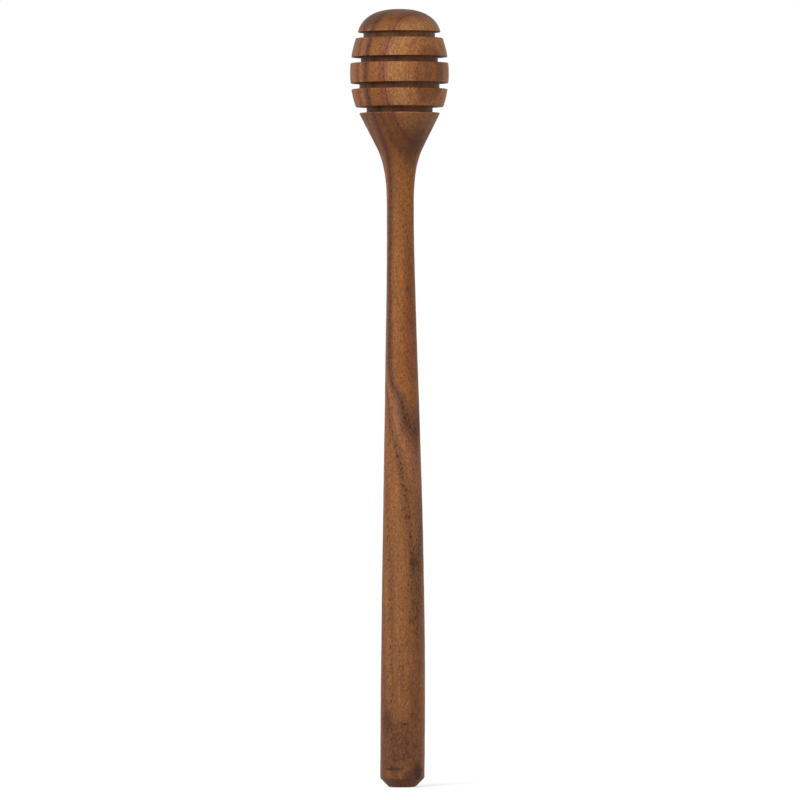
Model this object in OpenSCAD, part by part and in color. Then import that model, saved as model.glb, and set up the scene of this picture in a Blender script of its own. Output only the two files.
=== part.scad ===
// Honey dipper turned from one length of teak: a domed head with four grooves, on a slim tapered handle.
// It stands on its butt end, with the lathe axis along Z. Each node is the wood between two cuts across
// that axis. The nodes meet face to face, because the real dipper has no joint in it.

/* [Rings and grooves] */
// Width of every groove
groove_w = 1.5; // [1:0.1:2.5]
// Height of the ring below the dome
upper_ring_h = 4.9; // [3.5:0.1:6.5]
// Height of the ring at the widest part of the head
middle_ring_h = 5.2; // [3.5:0.1:6.5]
// Height of the ring above the neck
lower_ring_h = 4.6; // [3.5:0.1:6.5]
// Diameter of the head across its widest ring
belly_d = 25.4; // [23:0.2:32]
// Radius of the arc that the faces of the rings follow
belly_arc_r = 27; // [24:1:60]
// Diameter of the core in the groove under the dome
dome_groove_d = 18.4; // [12:0.2:19.5]
// Diameter of the core in the groove under the upper ring
upper_groove_d = 19.8; // [12:0.2:21]
// Diameter of the core in the groove under the middle ring
middle_groove_d = 20.6; // [12:0.2:22]
// Diameter of the core in the groove under the lower ring
lower_groove_d = 17; // [12:0.2:19]
// Radius that sandpaper leaves on the edges of the rings, the dome and the cone
edge_r = 0.25; // [0.1:0.05:0.4]

/* [Dome] */
// Height of the dome above the first groove
dome_h = 6; // [4:0.5:9]
// Diameter of the dome at its rim
dome_rim_d = 21.3; // [20:0.1:22.5]
// Depth below the rim at which the curve of the dome would stand upright
dome_skirt = 2.4; // [0.5:0.1:4]
// Fullness of the dome: 2 is an ellipse, more is squarer
dome_fullness = 2.4; // [2:0.1:3]

/* [Neck] */
// Diameter of the cone at its rim, under the lowest groove
cone_rim_d = 20.9; // [19.5:0.1:22]
// Angle between the side of the cone and the axis
cone_angle = 26.6; // [20:0.2:32]
// Height of the straight side of the cone
cone_h = 9; // [6:0.5:10]
// Height of the hollow curve between the cone and the waist
flare_h = 15.9; // [11:0.1:24]
// Length of the straight waist
waist_l = 4; // [1:0.5:12]
// Diameter of the waist, the thinnest part of the dipper
waist_d = 7; // [5:0.2:9]

/* [Handle] */
// Length of the handle from the butt end to the waist
handle_l = 144.4; // [110:0.2:200]
// Diameter of the parallel end of the handle
grip_d = 11.4; // [10:0.2:15]
// Height at which the parallel end starts to taper
grip_l = 16; // [8:1:30]
// Size of the chamfer round the butt end
butt_chamfer = 2.3; // [1:0.1:3]
// Radius between the chamfer and the flat of the butt end
butt_r = 1; // [0.2:0.1:1.5]

/* [Hidden] */
$fn = 96;

heartwood = "#8c5c37";
groove_wood = "#6a4327";

// Heights of the cuts, from the waist up to the top of the dome
waist_z = handle_l;
flare_z = waist_z + waist_l;
cone_z = flare_z + flare_h;
cone_rim_z = cone_z + cone_h;
lower_ring_z = cone_rim_z + groove_w;
middle_ring_z = lower_ring_z + lower_ring_h + groove_w;
upper_ring_z = middle_ring_z + middle_ring_h + groove_w;
dome_z = upper_ring_z + upper_ring_h + groove_w;
belly_z = middle_ring_z + middle_ring_h / 2;

// How far the tangents at the ends of a hollow curve or taper pull on it
grip_pull = 49.5;
waist_pull = 19.6;
cone_pull = 4.9;
flare_pull = 4.35;

// Number of steps in each curve
corner_steps = 4;
ring_steps = 6;
dome_steps = 20;
flare_steps = 16;
taper_steps = 28;

// Radius of the arc that the ring faces follow, at height z
function belly_r(z) =
    belly_d / 2 - belly_arc_r + sqrt(belly_arc_r ^ 2 - (z - belly_z) ^ 2);

// Point on the superellipse of the dome. The turn runs from 0, where it stands upright, to 90 at the top.
dome_b = dome_h + dome_skirt;
dome_a = dome_rim_d / 2 / (1 - (dome_skirt / dome_b) ^ dome_fullness) ^ (1 / dome_fullness);
function dome_point(turn) =
    [dome_a * cos(turn) ^ (2 / dome_fullness),
     dome_z - dome_skirt + dome_b * sin(turn) ^ (2 / dome_fullness)];
dome_rim_turn = asin((dome_skirt / dome_b) ^ (dome_fullness / 2));

// Cubic curve between a and d, pulled towards b and c
function bezier(a, b, c, d, steps) =
    [for (i = [0 : steps]) let (t = i / steps, s = 1 - t)
        s ^ 3 * a + 3 * s ^ 2 * t * b + 3 * s * t ^ 2 * c + t ^ 3 * d];

function unit(v) = v / norm(v);

// Arc of radius r that rounds the corner b between a and c, kept within the shorter of the two sides
function round_corner(a, b, c, r) =
    let (u = unit(a - b), v = unit(c - b),
         half = acos(u * v) / 2,
         reach = min(r / tan(half), norm(a - b) * 0.9, norm(c - b) * 0.9),
         arc_r = reach * tan(half),
         centre = b + unit(u + v) * arc_r / sin(half),
         start = b + u * reach - centre,
         side = sign(v[0] * u[1] - v[1] * u[0]),
         sweep = side * (180 - 2 * half))
    [for (i = [0 : corner_steps]) let (angle = sweep * i / corner_steps)
        centre + [start[0] * cos(angle) - start[1] * sin(angle),
                  start[0] * sin(angle) + start[1] * cos(angle)]];

// Solid of revolution whose side runs through the given points, from its bottom edge to its top edge.
// A radius above 0 rounds that edge.
module turned(side, bottom_r = 0, top_r = 0) {
    last = len(side) - 1;
    bottom_centre = [0, side[0][1]];
    top_centre = [0, side[last][1]];
    bottom = bottom_r > 0 ? round_corner(bottom_centre, side[0], side[1], bottom_r) : [side[0]];
    top = top_r > 0 ? round_corner(side[last - 1], side[last], top_centre, top_r) : [side[last]];
    middle = [for (i = [1 : last - 1]) side[i]];
    rotate_extrude() polygon(concat([bottom_centre], bottom, middle, top, [top_centre]));
}

// One ring of the head, with its face on the belly arc and both its edges eased
module ring(base_z, ring_h) {
    lift = edge_r * 2;
    face = [for (i = [0 : ring_steps]) base_z + lift + (ring_h - 2 * lift) * i / ring_steps];
    heights = concat([base_z], face, [base_z + ring_h]);
    color(heartwood) turned([for (z = heights) [belly_r(z), z]], edge_r, edge_r);
}

// The core where a groove lays it bare
module groove_floor(top_z, floor_d) {
    color(groove_wood) translate([0, 0, top_z - groove_w]) cylinder(h = groove_w, d = floor_d);
}

module dome() {
    side = [for (i = [0 : dome_steps])
        dome_point(dome_rim_turn + (90 - dome_rim_turn) * i / dome_steps)];
    color(heartwood) turned(side, edge_r);
}

module upper_ring() {
    ring(upper_ring_z, upper_ring_h);
}

module middle_ring() {
    ring(middle_ring_z, middle_ring_h);
}

module lower_ring() {
    ring(lower_ring_z, lower_ring_h);
}

module core() {
    groove_floor(dome_z, dome_groove_d);
    groove_floor(upper_ring_z, upper_groove_d);
    groove_floor(middle_ring_z, middle_groove_d);
    groove_floor(lower_ring_z, lower_groove_d);
}

module neck() {
    cone_foot = [cone_rim_d / 2 - cone_h * tan(cone_angle), cone_z];
    waist_top = [waist_d / 2, flare_z];
    flare = bezier(waist_top,
                   waist_top + [0, flare_pull],
                   cone_foot - cone_pull * [tan(cone_angle), 1],
                   cone_foot, flare_steps);
    side = concat([[waist_d / 2, waist_z]], flare, [[cone_rim_d / 2, cone_rim_z]]);
    color(heartwood) turned(side, 0, edge_r);
}

module handle() {
    flat_edge = [grip_d / 2 - butt_chamfer, 0];
    chamfer_top = [grip_d / 2, butt_chamfer];
    grip_top = [grip_d / 2, grip_l];
    waist = [waist_d / 2, waist_z];
    taper = bezier(grip_top, grip_top + [0, grip_pull], waist - [0, waist_pull], waist, taper_steps);
    color(heartwood) turned(concat([flat_edge, chamfer_top], taper), butt_r);
}

dome();
upper_ring();
middle_ring();
lower_ring();
core();
neck();
handle();
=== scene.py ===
"""A honey dipper turned from one length of teak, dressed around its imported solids.

The wood is one piece, so every part of it wears the same three-dimensional teak: growth layers, pores and
stains are worked out from the place in the stick, and run on from the rings into the neck and the handle.
"""

import logging
import math
from dataclasses import dataclass, field
from enum import Enum
from typing import Any

import bpy
import numpy as np
from mathutils import Euler, Matrix, Vector

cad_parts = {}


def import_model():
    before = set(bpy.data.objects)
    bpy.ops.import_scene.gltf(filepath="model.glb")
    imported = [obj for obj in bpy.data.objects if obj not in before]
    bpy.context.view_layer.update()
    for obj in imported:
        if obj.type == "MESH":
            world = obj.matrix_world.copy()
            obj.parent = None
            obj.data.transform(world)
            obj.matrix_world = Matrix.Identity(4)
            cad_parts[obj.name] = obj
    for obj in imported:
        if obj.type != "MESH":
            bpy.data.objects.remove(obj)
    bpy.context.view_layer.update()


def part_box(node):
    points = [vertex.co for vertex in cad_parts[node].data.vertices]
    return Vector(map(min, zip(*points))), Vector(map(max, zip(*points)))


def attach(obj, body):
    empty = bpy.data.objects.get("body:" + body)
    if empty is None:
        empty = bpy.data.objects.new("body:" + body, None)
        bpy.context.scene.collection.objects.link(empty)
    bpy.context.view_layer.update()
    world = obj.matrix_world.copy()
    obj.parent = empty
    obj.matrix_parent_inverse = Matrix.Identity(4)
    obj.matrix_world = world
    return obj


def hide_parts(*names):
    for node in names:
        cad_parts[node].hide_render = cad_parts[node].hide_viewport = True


LOG = logging.getLogger("honey_dipper")
MM = 0.001
BODY = "root"
WHITE = (1.0, 1.0, 1.0, 1.0)
# The largest part of a side that an eased corner may take up
MOST_OF_SIDE = 0.9

Node = bpy.types.Node
Socket = bpy.types.NodeSocket
Tree = bpy.types.NodeTree
Pair = tuple[float, float]
Triple = tuple[float, float, float]


class Wood(Enum):
    """Which of the stick's surfaces a finish is for. The groove finish is darkened all over with painted
    shade.
    """

    SANDED = "sanded"
    # Wood at the bottom of the grooves, darkened all over with painted shade
    SHADED_GROOVE = "groove"


def linear(colour: str) -> tuple[float, float, float, float]:
    """Turns an sRGB hex colour to the linear values that a shader takes.

    Args:
        colour: Six hex digits with a leading hash.

    Returns:
        Red, green, blue and an alpha of 1.
    """
    parts = (int(colour[i : i + 2], 16) / 255 for i in (1, 3, 5))
    red, green, blue = (c / 12.92 if c <= 0.04045 else ((c + 0.055) / 1.055) ** 2.4 for c in parts)
    return red, green, blue, 1.0


def add(tree: Tree, kind: str, inputs: dict[str | int, Any] | None = None, **settings: Any) -> Node:
    """Adds one node with its settings and links.

    Args:
        tree: The node tree that it goes in.
        kind: The node's type name.
        inputs: Socket names or numbers, each with a value or with the output that it is linked to.
        settings: The node's own properties.

    Returns:
        The new node.
    """
    node = tree.nodes.new(kind)
    for name, value in settings.items():
        setattr(node, name, value)
    for name, value in (inputs or {}).items():
        if isinstance(value, Socket):
            tree.links.new(value, node.inputs[name])
        else:
            node.inputs[name].default_value = value
    return node


def link(name: str, data: bpy.types.ID) -> bpy.types.Object:
    """Makes an object for a mesh, lamp or camera, and links it to the scene."""
    made = bpy.data.objects.new(name, data)
    bpy.context.scene.collection.objects.link(made)
    return made


@dataclass(frozen=True)
class Grain:
    """Size of a noise's blobs across and along the grain, in millimetres, and its octaves of finer noise.

    The roughness is the strength of each octave as a share of the one before.
    """

    across: float
    along: float
    detail: float = 2.0
    roughness: float = 0.6


@dataclass(frozen=True)
class Tone:
    """How far a noise darkens and lightens the wood: the greys at its ends, and their distance from 0.5."""

    darkest: float
    lightest: float
    spread: float = 0.25


@dataclass(frozen=True)
class Stain:
    """A dark place in the wood: an ellipsoid with a soft, ragged edge. Lengths are in millimetres.

    The strength is the largest share of the stain's colour. With rings it is a knot: that many radians of
    dark and light rings lie between its middle and its edge.
    """

    centre: Triple
    half: Triple
    strength: float
    rings: float = 0.0


@dataclass(frozen=True)
class Teak:
    """Oiled teak, turned on a lathe and sanded along the spindle.

    Teak is a ring-porous hardwood: each growth layer starts with a row of open pores, which oil turns nearly
    black, and ends in dense, paler wood. The eye gets long warm streaks, beaded dark lines and a satin skin.
    Pores and flecks are drawn a little coarser than real ones, so that they show. Lengths are in millimetres.
    """

    # Distance from the axis to the pith, and the direction away from it, turned from -Y towards +X
    pith_distance: float = 70.0
    layer_angle: float = math.radians(41)
    # How far the growth layers are shifted at each height, as shares of the stick and of the largest shift
    stick_length: float = 200.0
    largest_shift: float = 12.0
    shift: tuple[Pair, ...] = (
        (0.0, 0.86), (0.2, 0.80), (0.375, 0.66), (0.467, 0.375), (0.5, 0.27), (0.545, 0.03),
        (0.62, 0.02), (0.755, 0.035), (0.855, 0.17), (0.915, 0.20), (1.0, 0.23),
    )
    # Slow and fine bends of the layers, and how far each moves them from one end of its noise to the other
    bends: tuple[tuple[Grain, float], ...] = ((Grain(7.0, 38.0), 1.5), (Grain(1.1, 7.0, 3.0), 0.8))
    # Colour of the layers, from the pith side outwards, at distances from the dark line nearest the axis
    layers: tuple[tuple[float, str], ...] = (
        (-16.0, "#6b442a"), (-13.5, "#8a5832"), (-11.0, "#744626"), (-9.2, "#8f5d35"), (-7.6, "#88552e"),
        (-6.2, "#945f35"), (-4.6, "#905b32"), (-3.9, "#84522f"), (-3.5, "#774a2b"), (-3.0, "#88562f"),
        (-1.8, "#986241"), (-0.9, "#7e4e30"), (-0.4, "#6c4129"), (0.0, "#5f3924"), (0.4, "#6f4425"),
        (1.5, "#945b2e"), (2.7, "#935a29"), (3.8, "#8b5229"), (4.4, "#8a5032"), (4.7, "#7b442f"),
        (5.0, "#8f5638"), (5.8, "#a46d42"), (7.4, "#ab7446"), (8.8, "#a0673c"), (9.9, "#8a532d"),
        (11.0, "#784725"), (12.2, "#87522c"), (13.5, "#714224"),
    )
    # Streaks that keep to the layers, per millimetre across them, then flecks and broad clouds
    streaks_per_mm: float = 1.5
    streak_detail: float = 4.0
    streak_roughness: float = 0.7
    streak_tone: Tone = Tone(0.76, 1.20)
    fleck: Grain = Grain(0.3, 0.55)
    fleck_tone: Tone = Tone(0.68, 1.46, 0.17)
    cloud: Grain = Grain(3.0, 13.0, 4.0)
    cloud_tone: Tone = Tone(0.78, 1.20)
    # Cells that may hold a pore, and where a pore fades out and is full, as distances in cells
    pore_across: float = 0.5
    pore_along: float = 1.25
    pore_edge: Pair = (0.47, 0.27)
    # Share of the cells whose pore stays closed, and a pore's strength: away from a row and in it
    closed: Pair = (0.70, 0.12)
    pore_strength: Pair = (0.42, 0.97)
    # Rows of pores: where each growth layer starts, and how far its row reaches to either side
    rows: tuple[Pair, ...] = (
        (0.0, 0.75), (-3.5, 0.6), (4.7, 0.3), (-8.2, 0.5), (11.0, 0.9), (-12.4, 0.6),
    )
    pore_colour: str = "#331e10"
    stain_colour: str = "#462618"
    # Darker colour of end grain, also used as painted shade on faces that look down and on the groove floors
    end_grain_and_shade_colour: str = "#4c2814"
    stains: tuple[Stain, ...] = (
        Stain((-8.0, -5.0, 197.0), (4.5, 6.0, 3.5), 0.65),
        *(Stain((-4.9 + k, -9.4 + 0.8 * k, 172.4 - 1.8 * k), (0.9, 3.0, 1.9), 0.5) for k in range(6)),
        # A large dark patch over the right of the cone and the top of the flare
        Stain((4.2, -6.0, 164.5), (5.0, 4.5, 9.5), 0.6),
        Stain((2.0, -4.0, 128.0), (0.9, 1.2, 1.6), 0.5),
        Stain((3.0, -4.4, 58.0), (1.1, 1.6, 2.6), 0.6),
        Stain((2.6, -5.0, 42.6), (0.8, 1.2, 1.3), 0.5),
        # A broad, weak darkening over the lower end of the handle
        Stain((0.0, -5.0, 10.0), (9.0, 8.0, 24.0), 0.25),
        Stain((-3.9, -4.0, 17.0), (2.2, 2.6, 4.4), 0.65),
        Stain((4.1, -4.0, 3.9), (2.2, 2.6, 3.2), 1.0),
        Stain((1.6, -5.0, 3.0), (2.2, 1.8, 1.9), 0.6),
        Stain((-2.6, -5.0, 4.8), (4.0, 2.6, 0.5), 0.95),
        Stain((0.75, -5.65, 16.4), (1.5, 1.4, 0.34), 0.95),
        Stain((-0.7, -5.2, 10.3), (6.0, 5.0, 8.8), 0.85, rings=21.0),
    )
    # Where a stain fades out and is full, in half sizes, and the noise that makes its edge ragged
    stain_edge: Pair = (1.15, 0.35)
    ragged_per_mm: float = 0.55
    ragged_detail: float = 3.0
    # The weakest and strongest of a knot's rings
    ring_strength: Pair = (0.35, 0.85)
    # Part of a facing along the spindle that starts and completes the darker end grain and painted shade, and
    # its largest share
    end_grain_and_shade_facing: Pair = (0.2, 0.85)
    end_grain_and_shade_share: float = 0.7
    # What comes off the facing, so that faces that look down get painted shade, and the least painted shade
    # in a groove
    downward_shade: float = 0.15
    groove_shade_share: float = 0.6
    # Satin skin: glossier in the middle of each cell, where oil gathers, than between the cells
    pore_roughness: float = 0.43
    wood_roughness: float = 0.66
    fibre: Grain = Grain(0.3, 2.2)
    relief_height: float = 0.08
    relief_strength: float = 0.6
    ior: float = 1.5
    gloss: float = 0.22

    def material(self, wood: Wood) -> bpy.types.Material:
        """Makes the teak for one kind of surface.

        Args:
            wood: Sanded outer wood, or the wood at the bottom of a groove, darkened with painted shade.

        Returns:
            The material, with the same grain on every piece.
        """
        made = bpy.data.materials.new(f"oiled_teak_{wood.value}")
        made.use_nodes = True
        tree = made.node_tree
        tree.nodes.clear()
        spot = add(tree, "ShaderNodeTexCoord").outputs["Object"]
        place = add(tree, "ShaderNodeVectorMath", {0: spot, "Scale": 1 / MM}, operation="SCALE").outputs[0]
        layer = self._layer(tree, place)
        pores, distance = self._pores(tree, place, layer)
        colour = self._times(tree, self._flecks(tree, place), self._figure(tree, layer))
        colour = self._stained(tree, place, colour)
        colour = self._laid(tree, pores, colour, self.pore_colour)
        # Darker end grain, with painted shade on faces that look down and on the groove floors
        colour = self._laid(tree, self._end_grain_and_shade(tree, wood), colour, self.end_grain_and_shade_colour)
        rough = add(
            tree, "ShaderNodeMapRange", {0: distance, 3: self.pore_roughness, 4: self.wood_roughness}
        ).outputs[0]
        fibres = self._noise(tree, place, self.fibre)
        relief = add(tree, "ShaderNodeMath", {0: fibres, 1: pores}, operation="SUBTRACT").outputs[0]
        bump = add(
            tree, "ShaderNodeBump",
            {"Strength": self.relief_strength, "Distance": self.relief_height * MM, "Height": relief},
        ).outputs[0]
        shader = add(
            tree, "ShaderNodeBsdfPrincipled",
            {"Base Color": colour, "Roughness": rough, "Normal": bump, "IOR": self.ior,
             "Specular IOR Level": self.gloss},
        )
        add(tree, "ShaderNodeOutputMaterial", {"Surface": shader.outputs[0]})
        return made

    def _laid(self, tree: Tree, share: Socket, under: Socket, over: str) -> Socket:
        """Lays a hex colour over another by a share."""
        return add(
            tree, "ShaderNodeMix", {0: share, 6: under, 7: linear(over)}, data_type="RGBA"
        ).outputs[2]

    def _times(self, tree: Tree, grey: Socket, colour: Socket) -> Socket:
        """Multiplies a colour by a grey."""
        return add(
            tree, "ShaderNodeMix", {0: 1.0, 6: colour, 7: grey}, data_type="RGBA", blend_type="MULTIPLY"
        ).outputs[2]

    def _noise(self, tree: Tree, place: Socket, grain: Grain) -> Socket:
        """Noise with blobs of a given size.

        Args:
            tree: The node tree.
            place: The point, in millimetres.
            grain: The size of the blobs.

        Returns:
            The noise, about 0.5 on average.
        """
        scale = (1 / grain.across, 1 / grain.across, 1 / grain.along)
        stretched = add(tree, "ShaderNodeVectorMath", {0: place, 1: scale}, operation="MULTIPLY").outputs[0]
        return add(
            tree, "ShaderNodeTexNoise",
            {"Vector": stretched, "Scale": 1.0, "Detail": grain.detail, "Roughness": grain.roughness},
        ).outputs[0]

    def _toned(self, tree: Tree, noise: Socket, tone: Tone) -> Socket:
        """Turns a noise to a grey that a colour can be multiplied by."""
        ends = {1: 0.5 - tone.spread, 2: 0.5 + tone.spread, 3: tone.darkest, 4: tone.lightest}
        return add(tree, "ShaderNodeMapRange", {0: noise, **ends}).outputs[0]

    def _layer(self, tree: Tree, place: Socket) -> Socket:
        """Distance from the dark growth line, measured outwards from the pith, with the wood's own bends.

        The layers are cylinders round a pith outside the stick, so the distance is the length from the pith
        less the pith's own distance. A curve over the height shifts them, as they are where the trunk bent.

        Args:
            tree: The node tree.
            place: The point, in millimetres.

        Returns:
            The distance in millimetres.
        """
        pith = (-math.sin(self.layer_angle) * self.pith_distance,
                math.cos(self.layer_angle) * self.pith_distance, 0)
        flat = add(tree, "ShaderNodeVectorMath", {0: place, 1: (1, 1, 0)}, operation="MULTIPLY").outputs[0]
        arm = add(tree, "ShaderNodeVectorMath", {0: flat, 1: pith}, operation="SUBTRACT").outputs[0]
        length = add(tree, "ShaderNodeVectorMath", {0: arm}, operation="LENGTH").outputs["Value"]
        layer = add(
            tree, "ShaderNodeMath", {0: length, 1: self.pith_distance}, operation="SUBTRACT"
        ).outputs[0]
        moved = self._shifted(tree, add(tree, "ShaderNodeSeparateXYZ", {0: place}).outputs["Z"])
        layer = add(tree, "ShaderNodeMath", {0: layer, 1: moved}, operation="SUBTRACT").outputs[0]
        for grain, reach in self.bends:
            noise = self._noise(tree, place, grain)
            bend = add(
                tree, "ShaderNodeMath", {0: noise, 1: reach, 2: -reach / 2}, operation="MULTIPLY_ADD"
            ).outputs[0]
            layer = add(tree, "ShaderNodeMath", {0: layer, 1: bend}, operation="ADD").outputs[0]
        return layer

    def _shifted(self, tree: Tree, height: Socket) -> Socket:
        """The shift of the layers at a height, from a smooth curve through the given points.

        Args:
            tree: The node tree.
            height: The height in millimetres.

        Returns:
            The shift in millimetres.
        """
        share = add(
            tree, "ShaderNodeMath", {0: height, 1: self.stick_length}, operation="DIVIDE"
        ).outputs[0]
        curve = add(tree, "ShaderNodeFloatCurve", {"Value": share})
        points = curve.mapping.curves[0].points
        for _ in range(len(self.shift) - len(points)):
            points.new(0.5, 0.5)
        for point, at in zip(points, self.shift):
            point.location = at
        curve.mapping.update()
        return add(
            tree, "ShaderNodeMath", {0: curve.outputs[0], 1: self.largest_shift}, operation="MULTIPLY"
        ).outputs[0]

    def _figure(self, tree: Tree, layer: Socket) -> Socket:
        """Colours the growth layers, with finer streaks that keep to the layers.

        Args:
            tree: The node tree.
            layer: The distance across the layers.

        Returns:
            The colour.
        """
        low, high = self.layers[0][0], self.layers[-1][0]
        share = add(tree, "ShaderNodeMapRange", {0: layer, 1: low, 2: high}).outputs[0]
        ramp = add(tree, "ShaderNodeValToRGB", {0: share})
        stops = ramp.color_ramp.elements
        for _ in range(len(self.layers) - len(stops)):
            stops.new(0.5)
        for stop, (at, colour) in zip(stops, self.layers):
            stop.position = (at - low) / (high - low)
            stop.color = linear(colour)
        streaks = add(
            tree, "ShaderNodeTexNoise",
            {"W": layer, "Scale": self.streaks_per_mm, "Detail": self.streak_detail,
             "Roughness": self.streak_roughness},
            noise_dimensions="1D",
        ).outputs[0]
        return self._times(tree, self._toned(tree, streaks, self.streak_tone), ramp.outputs[0])

    def _flecks(self, tree: Tree, place: Socket) -> Socket:
        """Fine light and dark flecks of the fibres, over broad clouds.

        Args:
            tree: The node tree.
            place: The point, in millimetres.

        Returns:
            The grey that the colour is multiplied by.
        """
        small = self._toned(tree, self._noise(tree, place, self.fleck), self.fleck_tone)
        large = self._toned(tree, self._noise(tree, place, self.cloud), self.cloud_tone)
        return add(tree, "ShaderNodeMath", {0: small, 1: large}, operation="MULTIPLY").outputs[0]

    def _pores(self, tree: Tree, place: Socket, layer: Socket) -> tuple[Socket, Socket]:
        """Open pores: short dark dashes along the grain, crowded where a growth layer starts.

        Each cell of a Voronoi pattern, stretched along the grain, holds one pore round its middle. The pore
        is open where a random value of the cell passes a bar, which is lower near the start of a layer.

        Args:
            tree: The node tree.
            place: The point, in millimetres.
            layer: The distance across the layers.

        Returns:
            The mask of the pores, and the distance to the middle of the nearest cell, in cells.
        """
        scale = (1 / self.pore_across, 1 / self.pore_across, 1 / self.pore_along)
        cells = add(tree, "ShaderNodeVectorMath", {0: place, 1: scale}, operation="MULTIPLY").outputs[0]
        pattern = add(
            tree, "ShaderNodeTexVoronoi", {"Vector": cells, "Scale": 1.0, "Randomness": 1.0},
            voronoi_dimensions="3D", feature="F1",
        )
        distance = pattern.outputs["Distance"]
        fades, full = self.pore_edge
        mask = add(
            tree, "ShaderNodeMapRange", {0: distance, 1: fades, 2: full}, interpolation_type="SMOOTHSTEP"
        ).outputs[0]
        chance = add(tree, "ShaderNodeSeparateColor", {0: pattern.outputs["Color"]}).outputs[0]
        near = self._near_row(tree, layer)
        bar, strength = (
            add(tree, "ShaderNodeMapRange", {0: near, 3: away, 4: within}).outputs[0]
            for away, within in (self.closed, self.pore_strength)
        )
        opened = add(tree, "ShaderNodeMath", {0: chance, 1: bar}, operation="GREATER_THAN").outputs[0]
        for share in (opened, strength):
            mask = add(tree, "ShaderNodeMath", {0: mask, 1: share}, operation="MULTIPLY").outputs[0]
        return mask, distance

    def _near_row(self, tree: Tree, layer: Socket) -> Socket:
        """How near a point is to a row of pores: 1 in the middle of one, and 0 beyond its reach.

        Args:
            tree: The node tree.
            layer: The distance across the layers.

        Returns:
            The nearness, from 0 to 1.
        """
        near: Socket | float = 0.0
        for at, reach in self.rows:
            off = add(tree, "ShaderNodeMath", {0: layer, 1: at}, operation="SUBTRACT").outputs[0]
            off = add(tree, "ShaderNodeMath", {0: off}, operation="ABSOLUTE").outputs[0]
            row = add(
                tree, "ShaderNodeMapRange", {0: off, 1: reach, 2: 0.0}, interpolation_type="SMOOTHSTEP"
            ).outputs[0]
            near = add(tree, "ShaderNodeMath", {0: near, 1: row}, operation="MAXIMUM").outputs[0]
        return near

    def _stained(self, tree: Tree, place: Socket, colour: Socket) -> Socket:
        """Lays the stains and the knot over the figure.

        A stain is the smooth inside of an ellipsoid whose surface is bent by noise. A knot's rings are a sine
        of the distance from its middle in half sizes, and fade out with it.

        Args:
            tree: The node tree.
            place: The point, in millimetres.
            colour: The colour below.

        Returns:
            The stained colour.
        """
        noise = add(
            tree, "ShaderNodeTexNoise",
            {"Vector": place, "Scale": self.ragged_per_mm, "Detail": self.ragged_detail},
        ).outputs[1]
        ragged = add(
            tree, "ShaderNodeVectorMath", {0: noise, 1: (0.5, 0.5, 0.5)}, operation="SUBTRACT"
        ).outputs[0]
        fades, full = self.stain_edge
        for stain in self.stains:
            away: Socket = place
            for value, how in ((stain.centre, "SUBTRACT"), (stain.half, "DIVIDE"), (ragged, "ADD")):
                away = add(tree, "ShaderNodeVectorMath", {0: away, 1: value}, operation=how).outputs[0]
            distance = add(tree, "ShaderNodeVectorMath", {0: away}, operation="LENGTH").outputs["Value"]
            mask = add(
                tree, "ShaderNodeMapRange", {0: distance, 1: fades, 2: full, 4: stain.strength},
                interpolation_type="SMOOTHSTEP",
            ).outputs[0]
            if stain.rings:
                rings = self._rings(tree, distance, stain.rings)
                mask = add(tree, "ShaderNodeMath", {0: mask, 1: rings}, operation="MULTIPLY").outputs[0]
            colour = self._laid(tree, mask, colour, self.stain_colour)
        return colour

    def _rings(self, tree: Tree, distance: Socket, rings: float) -> Socket:
        """Strength of a knot's rings at a distance from its middle."""
        turn = add(tree, "ShaderNodeMath", {0: distance, 1: rings}, operation="MULTIPLY").outputs[0]
        wave = add(tree, "ShaderNodeMath", {0: turn}, operation="SINE").outputs[0]
        weakest, strongest = self.ring_strength
        return add(tree, "ShaderNodeMapRange", {0: wave, 1: -1.0, 3: weakest, 4: strongest}).outputs[0]

    def _end_grain_and_shade(self, tree: Tree, wood: Wood) -> Socket:
        """Cut across its pores the wood drinks more oil, so faces that look along the spindle are darker.

        Slanting faces that look down get more of it than those that look up: that part is painted shade.

        Args:
            tree: The node tree.
            wood: Sanded outer wood, or the wood at the bottom of a groove, which is darkened all over with
                painted shade.

        Returns:
            The share of the darker colour, for end grain and for painted shade.
        """
        normal = add(tree, "ShaderNodeNewGeometry").outputs["Normal"]
        up = add(tree, "ShaderNodeSeparateXYZ", {0: normal}).outputs["Z"]
        along = add(tree, "ShaderNodeMath", {0: up, 1: self.downward_shade}, operation="SUBTRACT").outputs[0]
        along = add(tree, "ShaderNodeMath", {0: along}, operation="ABSOLUTE").outputs[0]
        # The groove floors get painted shade all over: at least this share of the darker colour
        least = self.groove_shade_share if wood is Wood.SHADED_GROOVE else 0.0
        starts, completes = self.end_grain_and_shade_facing
        return add(
            tree, "ShaderNodeMapRange",
            {0: along, 1: starts, 2: completes, 3: least, 4: max(least, self.end_grain_and_shade_share)},
            interpolation_type="SMOOTHSTEP",
        ).outputs[0]


def eased(path: np.ndarray, radii: dict[int, float], steps: int = 6) -> np.ndarray:
    """Rounds some corners of a profile.

    An arc of radius r meets both sides of a corner at a reach of r over the tangent of half the corner's
    angle. It is drawn as a quadratic curve from one meeting point to the other, pulled to the corner.

    Args:
        path: Points of the profile, as radius and height.
        radii: The number of each corner to round, with its radius.
        steps: Pieces in each arc.

    Returns:
        The profile with its corners rounded.
    """
    parts: list[np.ndarray] = []
    t = np.linspace(0, 1, steps + 1)[:, None]
    for i, corner in enumerate(path):
        if i not in radii:
            parts.append(corner[None])
            continue
        before, after = path[i - 1] - corner, path[i + 1] - corner
        a, b = np.linalg.norm(before), np.linalg.norm(after)
        half = math.acos(float(np.clip(before @ after / (a * b), -1, 1))) / 2
        reach = min(radii[i] / math.tan(half), MOST_OF_SIDE * a, MOST_OF_SIDE * b)
        start, end = corner + before / a * reach, corner + after / b * reach
        parts.append((1 - t) ** 2 * start + 2 * t * (1 - t) * corner + t**2 * end)
    return np.concatenate(parts)


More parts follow.
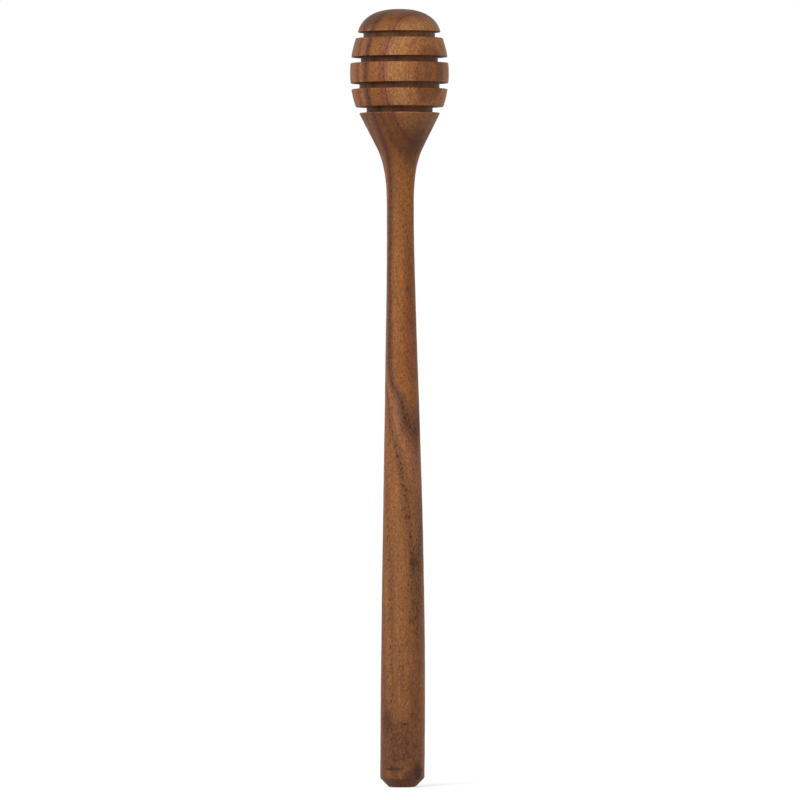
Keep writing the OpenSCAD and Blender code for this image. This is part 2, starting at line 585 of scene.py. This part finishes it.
def bezier(a: Pair, b: Pair, c: Pair, d: Pair, steps: int) -> np.ndarray:
    """Cubic curve from a to d, pulled towards b and c: the points weighted by the terms of (s + t) cubed.

    Args:
        a: Where it starts.
        b: The point that pulls on its start.
        c: The point that pulls on its end.
        d: Where it ends.
        steps: Pieces in the curve.

    Returns:
        The points of the curve, as radius and height.
    """
    t = np.linspace(0, 1, steps + 1)[:, None]
    s = 1 - t
    points = (np.array(p, float) for p in (a, b, c, d))
    return sum(w * p for w, p in zip((s**3, 3 * s**2 * t, 3 * s * t**2, t**3), points))


@dataclass
class Lathe:
    """Turns profiles into closed surfaces. Lengths are in millimetres.

    The stick has a slight natural bow, and tools and sandpaper leave it a few hundredths out of round.
    """

    length: float
    around: int = 160
    spacing: float = 0.42
    sharp: float = math.radians(32)
    bow: float = 0.45
    # Size of the unevenness, the radius from which it is full, and its waves, each with its share of the
    # size, its turns round the axis, its radians per millimetre of height and its start
    unevenness: float = 0.022
    uneven_from: float = 3.0
    waves: tuple[tuple[float, int, float, float], ...] = (
        (1.0, 2, 0.031, 0.7), (0.6, 3, -0.083, 2.1), (0.5, 1, 0.21, 0.0), (0.35, 7, 0.9, 0.0),
    )

    def _refined(self, path: np.ndarray) -> np.ndarray:
        """Adds points along a profile so that no step is longer than the spacing, and keeps every corner.

        Args:
            path: Points of the profile, as radius and height.

        Returns:
            The profile with the added points.
        """
        parts = [path[:1]]
        for a, b in zip(path[:-1], path[1:]):
            n = max(1, math.ceil(float(np.linalg.norm(b - a)) / self.spacing))
            parts.append(a + (b - a) * np.linspace(0, 1, n + 1)[1:, None])
        return np.concatenate(parts)

    def _lean(self, height: np.ndarray) -> np.ndarray:
        """How far the bow moves the axis along X: a sine of pi times the squared share below the top."""
        return self.bow * np.sin(math.pi * (1 - height / self.length) ** 2)

    def turn(self, name: str, path: np.ndarray) -> bpy.types.Object:
        """Makes the surface of revolution of a profile.

        A point of radius r and height z, at the angle a round the axis, is (r cos a, r sin a, z). Its radius
        swells by a sum of slow waves of a and z, and the bow moves it along X. Both depend only on place, so
        neighbouring pieces still meet.

        Args:
            name: The piece's name.
            path: Its profile, from the axis at the bottom to the axis at the top.

        Returns:
            The piece, linked to the scene, at the origin.
        """
        rows = self._refined(path)
        angle = np.linspace(0, 2 * math.pi, self.around, endpoint=False)
        radius, height = rows[1:-1, :1], rows[1:-1, 1:]
        wave = sum(
            size * np.sin(turns * angle + per_mm * height + start)
            for size, turns, per_mm, start in self.waves
        )
        swollen = radius + self.unevenness * wave * np.clip(radius / self.uneven_from, 0, 1)
        across = swollen * np.cos(angle) + self._lean(height)
        ring = np.stack([across, swollen * np.sin(angle), height + 0 * angle], axis=-1).reshape(-1, 3)
        ends = rows[[0, -1], 1]
        poles = np.stack([self._lean(ends), 0 * ends, ends], axis=-1)
        return self._mesh(name, np.concatenate([poles, ring]) * MM, len(radius))

    def _mesh(self, name: str, points: np.ndarray, rings: int) -> bpy.types.Object:
        """Joins two poles and a grid of rings with faces that point outwards.

        Args:
            name: The piece's name.
            points: The lower and upper poles, then the rings from the bottom up, in metres.
            rings: The number of rings.

        Returns:
            The piece, linked to the scene.
        """
        n = self.around
        at = np.arange(n)
        after = (at + 1) % n
        row = 2 + n * np.arange(rings - 1)[:, None]
        quads = np.stack([row + at, row + after, row + n + after, row + n + at], axis=-1).reshape(-1, 4)
        last = 2 + n * (rings - 1)
        bottom = np.stack([np.zeros(n, int), 2 + after, 2 + at], axis=-1)
        top = np.stack([np.ones(n, int), last + at, last + after], axis=-1)
        mesh = bpy.data.meshes.new(name)
        mesh.from_pydata(points.tolist(), [], quads.tolist() + bottom.tolist() + top.tolist())
        mesh.shade_smooth()
        mesh.set_sharp_from_angle(angle=self.sharp)
        return link(name, mesh)


def dress(piece: bpy.types.Object, material: bpy.types.Material, node: str) -> None:
    """Gives a piece its finish and puts it in the place of its solid.

    Args:
        piece: The finished piece.
        material: Its finish.
        node: The name of the solid that it stands for.
    """
    piece.data.materials.append(material)
    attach(piece, BODY)
    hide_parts(node)
    LOG.info("%s: %d faces", piece.name, len(piece.data.polygons))


def span(node: str) -> Pair:
    """The lowest and highest points of a solid, in millimetres."""
    low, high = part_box(node)
    return low.z / MM, high.z / MM


@dataclass
class Head:
    """The dome, the three rings and the wood between them. Lengths are in millimetres."""

    belly_d: float = 25.4
    belly_arc_r: float = 27.0
    face_points: int = 9
    dome_rim_d: float = 21.3
    dome_skirt: float = 2.4
    dome_fullness: float = 2.4
    dome_points: int = 48
    edge_r: float = 0.25
    floor_d: dict[str, float] = field(
        default_factory=lambda: {
            "under_dome": 18.4, "under_upper_ring": 19.8, "under_middle_ring": 20.6, "under_lower_ring": 17.0,
        }
    )

    def belly(self, height: np.ndarray) -> np.ndarray:
        """Radius of the arc that the ring faces follow: the belly's, less what a circle falls away by.

        Args:
            height: Heights on the head.

        Returns:
            The radius at each height.
        """
        low, high = span("middle_ring")
        off = height - (low + high) / 2
        return self.belly_d / 2 - self.belly_arc_r + np.sqrt(self.belly_arc_r**2 - off**2)

    def ring(self, lathe: Lathe, node: str) -> bpy.types.Object:
        """One ring: flat above and below, with its face on the belly arc and both edges eased.

        Args:
            lathe: The lathe that turns it.
            node: The name of its solid, which gives its height.

        Returns:
            The ring.
        """
        low, high = span(node)
        lift = 2 * self.edge_r
        face = np.linspace(low + lift, high - lift, self.face_points)
        height = np.concatenate([[low], face, [high]])
        side = np.stack([self.belly(height), height], axis=-1)
        path = np.concatenate([[[0, low]], side, [[0, high]]])
        return lathe.turn(f"turned_{node}", eased(path, {1: self.edge_r, len(path) - 2: self.edge_r}))

    def dome(self, lathe: Lathe) -> bpy.types.Object:
        """The dome: a superellipse whose foot lies below the rim, so that it leans in where it starts.

        With f the fullness and t an angle, its radius is a cos(t) to the power 2/f, and its height is
        b sin(t) to the same power.

        Args:
            lathe: The lathe that turns it.

        Returns:
            The dome.
        """
        low, high = span("dome")
        power = 2 / self.dome_fullness
        b = high - low + self.dome_skirt
        a = self.dome_rim_d / 2 / (1 - (self.dome_skirt / b) ** self.dome_fullness) ** (power / 2)
        first = math.asin((self.dome_skirt / b) ** (1 / power))
        t = np.linspace(first, math.pi / 2, self.dome_points)
        radius, height = a * np.cos(t) ** power, low - self.dome_skirt + b * np.sin(t) ** power
        radius[-1] = 0
        side = np.stack([radius, height], axis=-1)
        return lathe.turn("turned_dome", eased(np.concatenate([[[0, low]], side]), {1: self.edge_r}))

    def floors(self, lathe: Lathe) -> bpy.types.Object:
        """The core at the bottom of the four grooves, as four short cylinders in one piece.

        Args:
            lathe: The lathe that turns them.

        Returns:
            The core.
        """
        order = ["dome", "upper_ring", "middle_ring", "lower_ring", "neck"]
        made = []
        for above, below, (name, d) in zip(order[:-1], order[1:], self.floor_d.items()):
            low, high = span(below)[1], span(above)[0]
            path = np.array([[0, low], [d / 2, low], [d / 2, high], [0, high]])
            made.append(lathe.turn(f"core_{name}", path))
        with bpy.context.temp_override(active_object=made[0], selected_editable_objects=made):
            bpy.ops.object.join()
        made[0].name = "turned_core"
        return made[0]

    def build(self, lathe: Lathe, sanded: bpy.types.Material, groove: bpy.types.Material) -> None:
        """Makes and dresses every piece of the head.

        Args:
            lathe: The lathe that turns them.
            sanded: The finish of the dome and the rings.
            groove: The finish of the core, darkened all over with painted shade.
        """
        dress(self.dome(lathe), sanded, "dome")
        for node in ("upper_ring", "middle_ring", "lower_ring"):
            dress(self.ring(lathe, node), sanded, node)
        dress(self.floors(lathe), groove, "core")


@dataclass
class Neck:
    """The cone under the head and its hollow curve down to the waist. Lengths are in millimetres."""

    rim_d: float = 20.9
    cone_angle: float = math.radians(26.6)
    cone_h: float = 9.0
    flare_h: float = 15.9
    waist_d: float = 7.0
    cone_pull: float = 4.9
    flare_pull: float = 4.35
    flare_steps: int = 40
    edge_r: float = 0.25

    def build(self, lathe: Lathe, sanded: bpy.types.Material) -> None:
        """Makes and dresses the neck: a straight cone, and a cubic curve that ends parallel to the axis.

        Args:
            lathe: The lathe that turns it.
            sanded: Its finish.
        """
        low, high = span("neck")
        slope, waist_r = math.tan(self.cone_angle), self.waist_d / 2
        foot_z = high - self.cone_h
        waist_z = foot_z - self.flare_h
        foot_r = self.rim_d / 2 - self.cone_h * slope
        flare = bezier(
            (waist_r, waist_z), (waist_r, waist_z + self.flare_pull),
            (foot_r - self.cone_pull * slope, foot_z - self.cone_pull), (foot_r, foot_z), self.flare_steps,
        )
        path = np.concatenate([[[0, low], [waist_r, low]], flare, [[self.rim_d / 2, high], [0, high]]])
        dress(lathe.turn("turned_neck", eased(path, {len(path) - 2: self.edge_r})), sanded, "neck")


@dataclass
class Handle:
    """The handle: a parallel end with a chamfer, and a long taper to the waist. Lengths in millimetres."""

    grip_d: float = 11.4
    grip_l: float = 16.0
    waist_d: float = 7.0
    chamfer: float = 2.3
    butt_r: float = 1.0
    shoulder_r: float = 0.5
    edge_steps: int = 8
    grip_pull: float = 49.5
    waist_pull: float = 19.6
    taper_steps: int = 120

    def build(self, lathe: Lathe, sanded: bpy.types.Material) -> None:
        """Makes and dresses the handle: flat, chamfer, cylinder, and a cubic curve for the taper.

        Args:
            lathe: The lathe that turns it.
            sanded: Its finish.
        """
        low, high = span("handle")
        grip_r, waist_r, grip_z = self.grip_d / 2, self.waist_d / 2, low + self.grip_l
        taper = bezier(
            (grip_r, grip_z), (grip_r, grip_z + self.grip_pull),
            (waist_r, high - self.waist_pull), (waist_r, high), self.taper_steps,
        )
        butt = [[0, low], [grip_r - self.chamfer, low], [grip_r, low + self.chamfer]]
        path = eased(
            np.concatenate([butt, taper, [[0, high]]]), {1: self.butt_r, 2: self.shoulder_r}, self.edge_steps
        )
        dress(lathe.turn("turned_handle", path), sanded, "handle")


@dataclass(frozen=True)
class Lamp:
    """A soft rectangular lamp. Lengths are in metres, and its power is in watts."""

    name: str
    place: Triple
    size: Pair
    power: float


@dataclass
class Studio:
    """Pale floor, soft light and the camera of the photograph. Lengths are in metres."""

    distance: float = 2.0
    lens_mm: float = 350.0
    sensor_mm: float = 36.0
    sees_to: float = 50.0
    aim: Pair = (-0.00017, 0.09947)
    roll: float = math.radians(-0.22)
    floor_half: float = 0.4
    floor_drop: float = 0.00005
    floor_colour: str = "#e8e8e8"
    floor_glow: float = 0.6
    lamps: tuple[Lamp, ...] = (
        Lamp("key", (-0.72, -0.98, 0.7), (0.9, 0.9), 10.2),
        Lamp("fill", (0.9, -0.9, 0.25), (0.8, 1.0), 1.5),
    )
    lamps_face: Triple = (0.0, 0.0, 0.1)
    world: float = 0.38

    def camera(self) -> None:
        """Puts the camera level with the middle of the stick, looking along Y, with the photograph's roll."""
        data = bpy.data.cameras.new("camera")
        data.lens = self.lens_mm
        data.sensor_width = self.sensor_mm
        data.clip_end = self.sees_to
        made = link("camera", data)
        made.location = (self.aim[0], -self.distance, self.aim[1])
        turn = Euler((math.pi / 2, 0, 0)).to_matrix() @ Matrix.Rotation(self.roll, 3, "Z")
        made.rotation_euler = turn.to_euler()
        bpy.context.scene.camera = made

    def hang(self, lamp: Lamp) -> None:
        """Hangs one lamp so that it faces the middle of the stick.

        Args:
            lamp: The lamp.
        """
        data = bpy.data.lights.new(lamp.name, "AREA")
        data.shape = "RECTANGLE"
        data.size, data.size_y = lamp.size
        data.energy = lamp.power
        made = link(lamp.name, data)
        made.location = lamp.place
        ahead = Vector(self.lamps_face) - Vector(lamp.place)
        made.rotation_euler = ahead.to_track_quat("-Z", "Y").to_euler()

    def _seen(self, tree: Tree) -> Socket:
        """1 where a ray comes from the camera, or from gloss or glass.

        Args:
            tree: The node tree.

        Returns:
            1 or 0.
        """
        path = add(tree, "ShaderNodeLightPath")
        seen = path.outputs["Is Camera Ray"]
        for name in ("Is Glossy Ray", "Is Transmission Ray"):
            kind = path.outputs[name]
            seen = add(tree, "ShaderNodeMath", {0: seen, 1: kind}, operation="MAXIMUM").outputs[0]
        return seen

    def backdrop(self) -> None:
        """Lights the stick evenly from all round, and shows a white sky to the camera."""
        world = bpy.data.worlds.new("studio")
        bpy.context.scene.world = world
        world.use_nodes = True
        tree = world.node_tree
        tree.nodes.clear()
        level = add(tree, "ShaderNodeMapRange", {0: self._seen(tree), 3: self.world, 4: 1.0}).outputs[0]
        sky = add(tree, "ShaderNodeBackground", {"Color": WHITE, "Strength": level})
        add(tree, "ShaderNodeOutputWorld", {"Surface": sky.outputs[0]})

    def floor(self) -> None:
        """Lays a pale floor: white to the camera where it is lit, and darker in the stick's shadow.

        It lies a hair below the butt, so that the two flat faces don't share a plane.
        """
        h, z = self.floor_half, -self.floor_drop
        mesh = bpy.data.meshes.new("floor")
        mesh.from_pydata([(-h, -h, z), (h, -h, z), (h, h, z), (-h, h, z)], [], [(0, 1, 2, 3)])
        made = link("floor", mesh)
        paint = bpy.data.materials.new("matt_paper")
        paint.use_nodes = True
        tree = paint.node_tree
        tree.nodes.clear()
        matt = add(tree, "ShaderNodeBsdfDiffuse", {"Color": linear(self.floor_colour)})
        glow = add(tree, "ShaderNodeMath", {0: self._seen(tree), 1: self.floor_glow}, operation="MULTIPLY")
        light = add(tree, "ShaderNodeEmission", {"Color": WHITE, "Strength": glow.outputs[0]})
        both = add(tree, "ShaderNodeAddShader", {0: matt.outputs[0], 1: light.outputs[0]})
        add(tree, "ShaderNodeOutputMaterial", {"Surface": both.outputs[0]})
        mesh.materials.append(paint)

    def build(self) -> None:
        """Sets up the whole studio."""
        self.camera()
        self.backdrop()
        self.floor()
        for lamp in self.lamps:
            self.hang(lamp)
        bpy.context.scene.view_settings.view_transform = "Standard"


def main() -> None:
    """Builds the studio and every piece of the dipper, in order."""
    logging.basicConfig(level=logging.INFO, format="%(name)s %(message)s")
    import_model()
    Studio().build()
    teak = Teak()
    # The groove finish is a copy of the teak, darkened all over with painted shade
    sanded, groove = teak.material(Wood.SANDED), teak.material(Wood.SHADED_GROOVE)
    lathe = Lathe(length=span("dome")[1])
    Head().build(lathe, sanded, groove)
    Neck().build(lathe, sanded)
    Handle().build(lathe, sanded)


if __name__ == "__main__":
    main()
